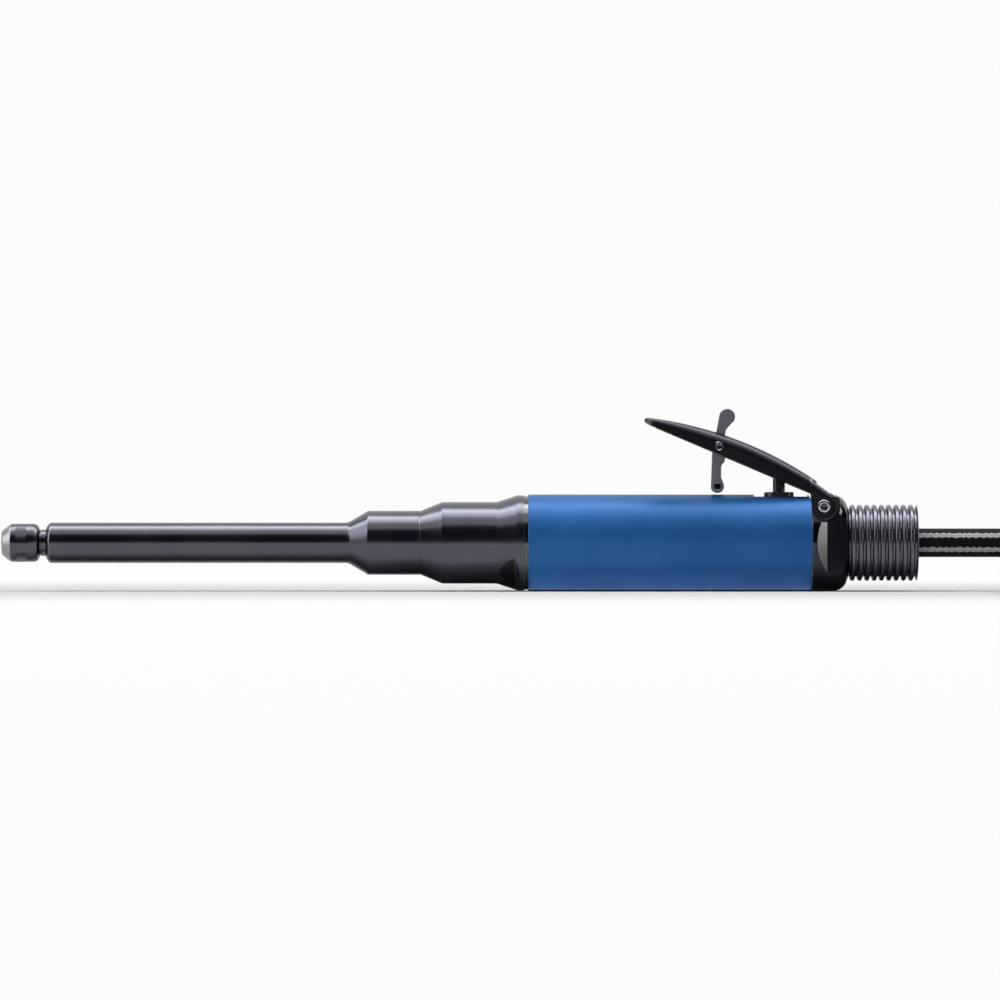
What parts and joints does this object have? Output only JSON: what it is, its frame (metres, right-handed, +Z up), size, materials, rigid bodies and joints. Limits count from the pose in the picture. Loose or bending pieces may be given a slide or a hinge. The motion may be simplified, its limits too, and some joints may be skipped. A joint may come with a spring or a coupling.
{
  "type": "pneumatic straight die grinder",
  "caption": "Extended straight air grinder with collet nut, slim steel neck, sleeved motor grip, lever throttle with safety latch, exhaust hose and coiled supply hose.",
  "frame": {"origin": "middle of the tool's length, under its axis, on the surface that the grip sleeve rests on", "axes": "+X along the tool's axis from the collet towards the hose, +Z up, +Y away from the viewer"},
  "size_m": [0.5739, 0.1783, 0.0764],
  "materials": {
    "dark_steel": "dark satin, blackened and oiled",
    "spindle_steel": "machined",
    "bright_steel": "polished",
    "black_oxide": "black oxide, satin",
    "latch_grey": "satin grey",
    "blue_grip": "matt, fine grained",
    "brass": "machined",
    "black_rubber": "satin",
    "hose_cloth": "braided, matt, two grey lengthwise stripes",
    "tie_strap": "matt woven",
    "vane_resin": "cloth filled resin"
  },
  "bodies": {
    "tool_body": {"neck_tube": "dark_steel", "front_bearing": "bright_steel", "second_bearing": "bright_steel", "bearing_spacer": "spindle_steel", "tail_bearing": "bright_steel", "bearing_retainer": "spindle_steel", "front_housing": "dark_steel", "spacer_ring": "bright_steel", "motor_case": "spindle_steel", "front_end_plate": "spindle_steel", "rotor_front_bearing": "bright_steel", "motor_cylinder": "spindle_steel", "rear_end_plate": "spindle_steel", "rotor_rear_bearing": "bright_steel", "grip_sleeve": "blue_grip", "valve_housing": "dark_steel", "valve_bush": "black_oxide", "valve_seal": "black_rubber", "valve_seat": "brass", "valve_spring": "spindle_steel", "valve_cap": "spindle_steel", "inlet_strainer": "brass", "inlet_nipple": "brass", "hose_ferrule": "spindle_steel", "exhaust_hose": "black_rubber", "hinge_pin": "bright_steel", "supply_hose_lead": "hose_cloth", "supply_hose_coil": "hose_cloth", "plug_ferrule": "spindle_steel", "air_plug": "spindle_steel", "hose_tie": "tie_strap"},
    "spindle": {"spindle": "spindle_steel", "collet": "spindle_steel", "shaft_coupling": "spindle_steel", "rotor": "spindle_steel", "vane_1": "vane_resin", "vane_2": "vane_resin", "vane_3": "vane_resin", "vane_4": "vane_resin", "vane_5": "vane_resin"},
    "collet_nut": {"collet_nut": "dark_steel"},
    "lever": {"lever": "black_oxide", "latch_pin": "bright_steel", "latch_spring": "spindle_steel"},
    "safety_latch": {"safety_latch": "latch_grey"},
    "valve_stem": {"valve_stem": "spindle_steel"}
  },
  "joints": [
    {"name": "spindle_spin", "type": "hinge", "parent": "tool_body", "child": "spindle", "pos_m": [0, 0, 0.02025], "axis": [1, 0, 0], "continuous": true},
    {"name": "nut_turn", "type": "hinge", "parent": "spindle", "child": "collet_nut", "pos_m": [-0.184, 0, 0.02025], "axis": [1, 0, 0], "range_deg": [-360, 0]},
    {"name": "lever_press", "type": "hinge", "parent": "tool_body", "child": "lever", "pos_m": [0.15257, 0, 0.03545], "axis": [0, -1, 0], "range_deg": [0, 6.5], "stiffness_Nm_per_rad": 1, "springref_deg": -20.05, "deforming": ["valve_spring"]},
    {"name": "latch_swing", "type": "hinge", "parent": "lever", "child": "safety_latch", "pos_m": [0.10877, 0, 0.06095], "axis": [0, -1, 0], "range_deg": [0, 65.5], "deforming": ["latch_spring"]},
    {"name": "valve_press", "type": "slide", "parent": "tool_body", "child": "valve_stem", "axis": [0, 0, -1], "range_m": [0, 0.0025]}
  ],
  "couplings": [
    {"joint": "latch_swing", "follows": "lever_press", "ratio": 10},
    {"joint": "valve_press", "follows": "lever_press", "m_per_rad": 0.0196}
  ]
}
